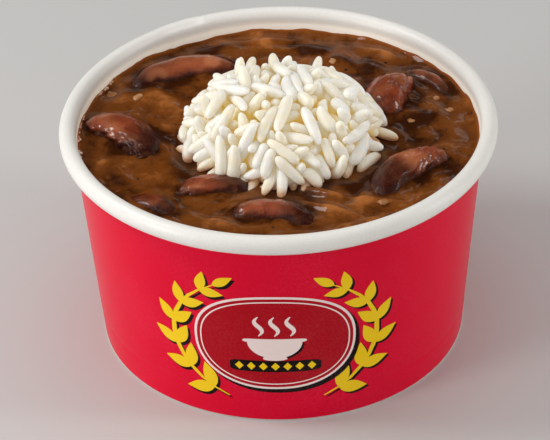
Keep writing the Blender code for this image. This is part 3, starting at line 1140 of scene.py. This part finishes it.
# How the grains settle: the balls that stand for a grain, the rounds, how close two balls come as
# a share of both widths, how far a stray or another grain may stick out of its layer, and how
# strongly a grain is pushed, drawn in, moved, pulled in millimetres a round, and kept from turning.
BALLS = 4
SETTLE_ROUNDS = 36
TOUCH = 0.425
STRAY_ROOM = 0.14
ROOM = 0.03
PUSH = 0.5
DRAW_IN = 0.6
STRIDE = 1.3
PULL = 0.015
TURN_RESISTANCE = 0.4

# How much wider a grain is shaped, to make up for what smoothing takes away.
SMOOTHING_LOSS = 1.06


def heap_share(places):
    """How far each point of an array lies out of the heap's middle: 1 on its outer surface."""
    half = (RICE_HIGH - RICE_LOW) / 2
    rise = numpy.clip((places[..., 2] - RICE_LOW.z) / (2 * half.z), 0.0, None)
    x = (places[..., 0] - RICE_MIDDLE.x + CROWN_SHIFT * (rise - 0.3)) / half.x
    y = (places[..., 1] - RICE_MIDDLE.y) / half.y
    return (numpy.hypot(x, y) ** HEAP_POWER + rise ** HEAP_POWER) ** (1 / HEAP_POWER)


def unit_rows(rows):
    """An array of vectors, each scaled to a length of 1."""
    return rows / numpy.linalg.norm(rows, axis=-1, keepdims=True)


def upward_directions(dice, count, flatness):
    """Upward directions that spread the grains evenly over the heap's surface."""
    rows = []
    while len(rows) < count:
        direction = unit_rows(dice.normal(0.0, 1.0, 3))
        direction[2] = abs(direction[2])
        area = math.hypot(direction[2], flatness * math.hypot(direction[0], direction[1]))
        if dice.random() < area:
            rows.append(direction)
    return numpy.array(rows)


class Heap:
    """Grains while they settle: each is a row of balls along a short axis."""

    def __init__(self, rice):
        dice = numpy.random.default_rng(HEAP_SEED)
        count = rice.grains
        self.length = rice.length * dice.normal(0.98, 0.11, count).clip(0.72, 1.18)
        self.length[dice.random(count) < SHORT_SHARE] *= SHORT_LENGTH
        self.width = rice.width * dice.normal(1.0, 0.06, count).clip(0.88, 1.14)
        self.bend = dice.normal(0.0, 0.06, count).clip(-0.12, 0.12)
        self.roll = dice.uniform(0, math.tau, count)
        self.tone = dice.uniform(0.0, 0.24, count)
        self.layer = dice.choice((0.97, 0.93, 0.86, 0.74), count, p=(0.30, 0.24, 0.26, 0.20))
        self.strays = dice.random(count) < STRAY_SHARE
        self.foot = numpy.array((RICE_MIDDLE.x, RICE_MIDDLE.y, RICE_LOW.z))
        size = numpy.array(((RICE_HIGH.x - RICE_LOW.x) / 2, (RICE_HIGH.y - RICE_LOW.y) / 2,
                            RICE_HIGH.z - RICE_LOW.z))
        outward = upward_directions(dice, count, size[2] / size[0])
        self.middle = self.foot + outward * size
        depth = (1 - self.layer / heap_share(self.middle))[:, None]
        self.middle -= (self.middle - self.foot) * depth
        normal = unit_rows(outward / size)
        lying = unit_rows(numpy.cross(normal, dice.normal(0.0, 1.0, (count, 3))))
        tilt = numpy.radians(numpy.where(self.strays, dice.uniform(40, 85, count),
                                         numpy.abs(dice.normal(0.0, 28.0, count))))[:, None]
        self.axis = unit_rows(lying * numpy.cos(tilt) + normal * numpy.sin(tilt))

    def settle(self, rounds):
        """Push overlapping grains apart and draw all of them together, round after round."""
        count = len(self.length)
        owner = numpy.repeat(numpy.arange(count), BALLS)
        touch = TOUCH * (self.width[owner][:, None] + self.width[owner][None, :])
        touch[owner[:, None] == owner[None, :]] = 0.0
        steps = numpy.linspace(-1.0, 1.0, BALLS)[None, :, None]
        reach = ((self.length - self.width) / 2)[:, None, None]
        for turn in range(rounds):
            balls = self.middle[:, None] + self.axis[:, None] * reach * steps
            flat = balls.reshape(-1, 3)
            square = (flat ** 2).sum(axis=1)
            away = numpy.sqrt(numpy.clip(square[:, None] + square[None, :] - 2 * flat @ flat.T,
                                         1e-12, None))
            weight = numpy.clip(touch / away - 1.0, 0.0, 1.0) * PUSH
            move = weight.sum(axis=1)[:, None] * flat - weight @ flat
            share = heap_share(flat)
            limit = (self.layer + numpy.where(self.strays, STRAY_ROOM, ROOM))[owner]
            inward = numpy.clip(1 - limit / share, 0.0, None)[:, None]
            move += (self.foot - flat) * inward * DRAW_IN
            floor = RICE_LOW.z + self.width[owner] / 2
            move[:, 2] += numpy.clip(floor - flat[:, 2], 0.0, None) * DRAW_IN
            move = move.reshape(count, BALLS, 3)
            twist = numpy.cross(balls - self.middle[:, None], move).sum(axis=1)
            self.middle += move.mean(axis=1) * STRIDE
            self.middle += unit_rows(self.foot - self.middle) * PULL * MM
            spin = twist / (self.length ** 2 * TURN_RESISTANCE)[:, None]
            self.axis = unit_rows(self.axis + numpy.cross(spin, self.axis))


def add_grain(shape, heap, index, layers, level):
    """Shape one grain: a plump rod with rounded ends and a slight bend."""
    made = bmesh.ops.create_uvsphere(shape, u_segments=7, v_segments=8, radius=1.0)["verts"]
    axis = Vector(heap.axis[index])
    middle = Vector(heap.middle[index])
    length, width = heap.length[index], heap.width[index] * SMOOTHING_LOSS
    side = axis.orthogonal().normalized()
    side.rotate(Matrix.Rotation(heap.roll[index], 3, axis))
    other = axis.cross(side)
    for vertex in made:
        x, y, along = vertex.co
        flank = max(math.hypot(x, y), 0.01)
        along = math.copysign(abs(along) ** 0.8, along)
        blunt = math.sqrt(max(0.0, 1.0 - abs(along) ** 3.5)) / flank
        plump = blunt * (1.0 - 0.10 * along)
        bend = heap.bend[index] * length * (0.5 - along * along)
        plump *= 1.0 + 0.16 * noise.noise(Vector((x, y, 2.0 * along + index)))
        vertex.co = (middle + axis * length / 2 * along + side * (width / 2 * x * plump + bend)
                     + other * width / 2 * 0.88 * y * plump)
    shares = heap_share(numpy.array([vertex.co for vertex in made]))
    deep, stained = layers
    for vertex, share in zip(made, shares):
        # Painted shade and painted glow deeper in the heap, plus a random tone per grain.
        vertex[deep] = min(1.0, 1.0 - smooth_step(share, 0.74, 0.98) + heap.tone[index])
        above = vertex.co.z - level
        blotch = 0.5 + noise.noise(vertex.co / (3.5 * MM))
        toward_front = smooth_step(RICE_MIDDLE.y - vertex.co.y, -6 * MM, 16 * MM)
        wet = 1.0 - smooth_step(above, 0.2 * MM, (0.9 + 1.8 * blotch * toward_front) * MM)
        vertex[stained] = 0.85 * wet


class RICECUP_OT_rice(bpy.types.Operator):
    """Heap the rice: separate grains, settled against each other over a smaller core"""
    bl_idname = "rice_cup.rice"
    bl_label = "Rice"

    def execute(self, context):
        settings = context.scene.rice_cup
        rice = settings.rice
        level = gravy_level(settings.gravy)
        heap = Heap(rice)
        heap.settle(SETTLE_ROUNDS)
        shape = bmesh.new()
        layers = (shape.verts.layers.float.new("deep"), shape.verts.layers.float.new("stained"))
        for index in range(rice.grains):
            add_grain(shape, heap, index, layers, level)
        material = rice_material(rice)
        piece = add_piece("rice_grains", shape, material, ["rice_mound"])
        rounder = piece.modifiers.new("rounder", "SUBSURF")
        rounder.levels = 1
        rounder.render_levels = 1
        self.make_core(material)
        return {"FINISHED"}

    def make_core(self, material):
        """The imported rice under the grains, seen only in the gaps between them."""
        shape = bmesh.new()
        bmesh.ops.create_icosphere(shape, subdivisions=5, radius=1.0)
        deep = shape.verts.layers.float.new("deep")
        half = (RICE_HIGH - RICE_LOW) / 2
        for vertex in shape.verts:
            direction = vertex.co.normalized()
            size = CORE_SIZE + 0.05 * noise.noise(direction * 9.0)
            rise = max(0.0, direction.z) * size
            vertex.co = Vector((
                RICE_MIDDLE.x + half.x * direction.x * size - CROWN_SHIFT * (rise - 0.3),
                RICE_MIDDLE.y + half.y * direction.y * size,
                RICE_LOW.z + half.z * 2 * rise - 0.4 * MM * max(0.0, -direction.z)))
            # The core takes painted shade and painted glow like the heap's gaps.
            vertex[deep] = CORE_PAINTED_SHADE
        bmesh.ops.recalc_face_normals(shape, faces=shape.faces)
        add_piece("rice_core", shape, material)


# Bits in the gravy

# Where larger bits lie, in millimetres: softened onion, and dark specks of herb or pepper.
ONION_PLACES = [(33.0, 12.8), (35.7, 8.4), (-29.0, 16.1), (27.5, 4.2), (12.0, 28.0),
                (-34.5, 17.5), (20.5, -26.0), (-15.0, 31.0)]
SPECK_PLACES = [(38.8, 8.5), (38.6, 4.7), (32.0, -2.5), (12.3, -32.0), (-10.3, 15.8), (34.5, 1.0),
                (29.0, -30.0), (-25.5, 8.5), (3.0, 36.0), (-5.5, -35.0)]


def scatter(dice, count, low, high):
    """Places on the gravy between two radii, clear of the rice."""
    places = []
    while len(places) < count:
        radius = math.sqrt(dice.uniform(low * low, high * high))
        angle = dice.uniform(0, math.tau)
        place = (radius * math.cos(angle), radius * math.sin(angle))
        if heap_share(numpy.array((*place, RICE_LOW.z))) > 1.1:
            places.append(place)
    return places


class RICECUP_OT_bits(bpy.types.Operator):
    """Scatter herb flecks and softened onion over the gravy"""
    bl_idname = "rice_cup.bits"
    bl_label = "Herbs and Onion"

    def execute(self, context):
        settings = context.scene.rice_cup
        trees = bean_trees(settings)
        dice = random.Random(5)
        herbs = bmesh.new()
        named = [(x * MM, y * MM) for x, y in SPECK_PLACES]
        for x, y in named + scatter(dice, 22, 21 * MM, 39 * MM):
            ground = gravy_point(settings.gravy, trees, x, y)[0]
            self.add_bit(herbs, dice, (x, y, ground), dice.uniform(0.2, 0.42) * MM, 0.4, 0.4)
        onion = bmesh.new()
        for x, y in [(x * MM, y * MM) for x, y in ONION_PLACES]:
            ground = gravy_point(settings.gravy, trees, x, y)[0]
            self.add_bit(onion, dice, (x, y, ground), dice.uniform(0.8, 1.5) * MM, 0.35, 0.1)
        bits = settings.bits
        herb = bit_material("herb", tuple(bits.herb_dark), tuple(bits.herb_light), 0.4 * MM)
        soft = bit_material("onion", tuple(bits.onion_dark), tuple(bits.onion_light), 0.6 * MM)
        add_piece("herb_flecks", herbs, herb)
        add_piece("onion_bits", onion, soft)
        return {"FINISHED"}

    def add_bit(self, shape, dice, place, size, flatness, proud):
        """One small uneven chip lying on the food."""
        made = bmesh.ops.create_icosphere(shape, subdivisions=2, radius=size)["verts"]
        stretch = dice.uniform(0.5, 1.0)
        heading = Matrix.Rotation(dice.uniform(0, math.tau), 3, "Z")
        lean = Matrix.Rotation(dice.uniform(-0.3, 0.3), 3, "X")
        seed = Vector((dice.random(), dice.random(), dice.random())) * 9
        for vertex in made:
            rough = 1.0 + 0.5 * noise.noise(vertex.co / size * 1.3 + seed)
            vertex.co = Vector((vertex.co.x, vertex.co.y * stretch, vertex.co.z * flatness)) * rough
            vertex.co = heading @ (lean @ vertex.co)
            vertex.co += Vector(place) + Vector((0, 0, size * flatness * (proud - 0.5)))


class RICECUP_OT_bubbles(bpy.types.Operator):
    """Dot small bubbles along the left wall, where the gravy meets it"""
    bl_idname = "rice_cup.bubbles"
    bl_label = "Bubbles at the Wall"

    def execute(self, context):
        settings = context.scene.rice_cup
        reach = inner_radius(settings.cup, gravy_level(settings.gravy))
        dice = random.Random(3)
        shape = bmesh.new()
        trees = bean_trees(settings)
        for centre in (148.5, 155.5, 170.5, 179.5, 187.0):
            for index in range(8):
                angle = math.radians(centre + dice.gauss(0, 2.2))
                size = dice.choice((0.14, 0.18, 0.24, 0.34)) * MM
                radius = reach - size * dice.uniform(0.3, 1.4)
                x, y = radius * math.cos(angle), radius * math.sin(angle)
                ground = gravy_point(settings.gravy, trees, x, y)[0]
                ground += settings.gravy.lift * 0.8
                made = bmesh.ops.create_icosphere(shape, subdivisions=2, radius=size)["verts"]
                bmesh.ops.translate(shape, verts=made, vec=(x, y, ground - size * 0.1))
        bits = settings.bits
        foam = bit_material("bubble", tuple(bits.foam_dark), tuple(bits.foam_light), 0.3 * MM,
                            gloss=0.02)
        add_piece("wall_bubbles", shape, foam)
        return {"FINISHED"}


# Stage

# The lights: name, place, width, height, and strength as a share of the key setting.
LIGHTS = [
    ("overhead", (0.05, 0.02, 0.85), 0.60, 0.60, 0.65),
    ("key", (-0.50, 0.02, 0.56), 0.22, 0.22, 1.40),
    ("fill", (0.20, -0.70, 0.50), 0.50, 0.40, 0.05),
    ("left_strip", (-0.70, -0.42, 0.24), 0.22, 0.40, 1.94),
    ("right_strip", (0.66, -0.12, 0.20), 0.12, 0.50, 1.22),
    ("back_strip", (0.22, 0.80, 0.55), 0.30, 0.08, 0.09),
]


class RICECUP_OT_stage(bpy.types.Operator):
    """Set the pale floor, the soft lights and the camera"""
    bl_idname = "rice_cup.stage"
    bl_label = "Stage"

    def execute(self, context):
        stage = context.scene.rice_cup.stage
        self.make_floor(stage)
        self.make_world(context)
        for name, place, width, height, share in LIGHTS:
            lamp = self.add_light(name, place, width, height, stage.key * share)
            lamp.visible_glossy = name != "overhead"
        self.make_camera(context, stage)
        context.scene.view_settings.view_transform = "Standard"
        return {"FINISHED"}

    def make_floor(self, stage):
        """A wide round floor."""
        shape = bmesh.new()
        bmesh.ops.create_circle(shape, cap_ends=True, segments=96, radius=6.0)
        mesh = bpy.data.meshes.new("floor")
        shape.to_mesh(mesh)
        shape.free()
        material, tree, shader = new_material("floor", Roughness=0.65)
        cloud = noise_value(tree, object_place(tree), 0.2)
        darker = (*(0.98 * value for value in stage.floor[:3]), 1.0)
        colour = mix_colours(tree, cloud, darker, tuple(stage.floor))
        tree.links.new(colour, shader.inputs["Base Color"])
        mesh.materials.append(material)
        floor = bpy.data.objects.new("floor", mesh)
        bpy.context.scene.collection.objects.link(floor)

    def make_world(self, context):
        """Even pale light from all round, which the wet food does not mirror."""
        world = bpy.data.worlds.new("studio")
        context.scene.world = world
        world.use_nodes = True
        background = world.node_tree.nodes["Background"]
        background.inputs["Color"].default_value = srgb(238, 237, 235)
        background.inputs["Strength"].default_value = 0.46
        world.cycles_visibility.glossy = False

    def add_light(self, name, place, width, height, power):
        """A soft rectangular light that faces the cup."""
        light = bpy.data.lights.new(name, "AREA")
        light.shape = "RECTANGLE"
        light.size = width
        light.size_y = height
        light.energy = power
        lamp = bpy.data.objects.new(name, light)
        lamp.location = place
        target = Vector((0, 0, CUP_HEIGHT * 0.7))
        lamp.rotation_euler = (target - Vector(place)).to_track_quat("-Z", "Y").to_euler()
        bpy.context.scene.collection.objects.link(lamp)
        return lamp

    def make_camera(self, context, stage):
        """A long lens that looks down on the printed side, tipped a little to its left."""
        elevation = math.radians(32.74)
        look_down, yaw, roll = math.radians(34.44), math.radians(0.12), math.radians(-1.72)
        data = bpy.data.cameras.new("camera")
        data.lens = stage.lens
        data.sensor_width = 36.0
        data.clip_start = 0.01
        data.clip_end = 20.0
        camera = bpy.data.objects.new("camera", data)
        aim = Vector((0, 0, CUP_HEIGHT))
        camera.location = aim + stage.distance * Vector((0, -math.cos(elevation),
                                                         math.sin(elevation)))
        turn = (Matrix.Rotation(yaw, 4, "Z")
                @ Matrix.Rotation(math.pi / 2 - look_down, 4, "X")
                @ Matrix.Rotation(roll, 4, "Z"))
        camera.rotation_euler = turn.to_euler()
        context.scene.collection.objects.link(camera)
        context.scene.camera = camera


class RICECUP_PT_panel(bpy.types.Panel):
    """The steps that dress the cup, in order, and their settings"""
    bl_label = "Red Beans and Rice"
    bl_idname = "RICECUP_PT_panel"
    bl_space_type = "VIEW_3D"
    bl_region_type = "UI"
    bl_category = "Beans and Rice"

    def draw(self, context):
        settings = context.scene.rice_cup
        for group in ("cup", "badge", "gravy", "beans", "rice", "bits", "stage"):
            box = self.layout.box()
            box.label(text=group.capitalize())
            values = getattr(settings, group)
            for name in values.bl_rna.properties.keys():
                if name not in ("rna_type", "name"):
                    box.prop(values, name)
        for step in STEPS:
            self.layout.operator("rice_cup." + step)


STEPS = ("cup", "badge", "gravy", "beans", "rice", "bits", "bubbles", "stage")
CLASSES = (CupSettings, PrintSettings, GravySettings, BeanSettings, RiceSettings, BitSettings,
           StageSettings, DishSettings, RICECUP_OT_cup, RICECUP_OT_badge, RICECUP_OT_gravy,
           RICECUP_OT_beans, RICECUP_OT_rice, RICECUP_OT_bits, RICECUP_OT_bubbles,
           RICECUP_OT_stage, RICECUP_PT_panel)


def register():
    """Register the classes and hang the settings on the scene."""
    for item in CLASSES:
        bpy.utils.register_class(item)
    bpy.types.Scene.rice_cup = PointerProperty(type=DishSettings)


def unregister():
    """Undo register."""
    del bpy.types.Scene.rice_cup
    for item in reversed(CLASSES):
        bpy.utils.unregister_class(item)


def main():
    """Make every piece in order."""
    register()
    for step in STEPS:
        getattr(bpy.ops.rice_cup, step)()


if __name__ == "__main__":
    main()
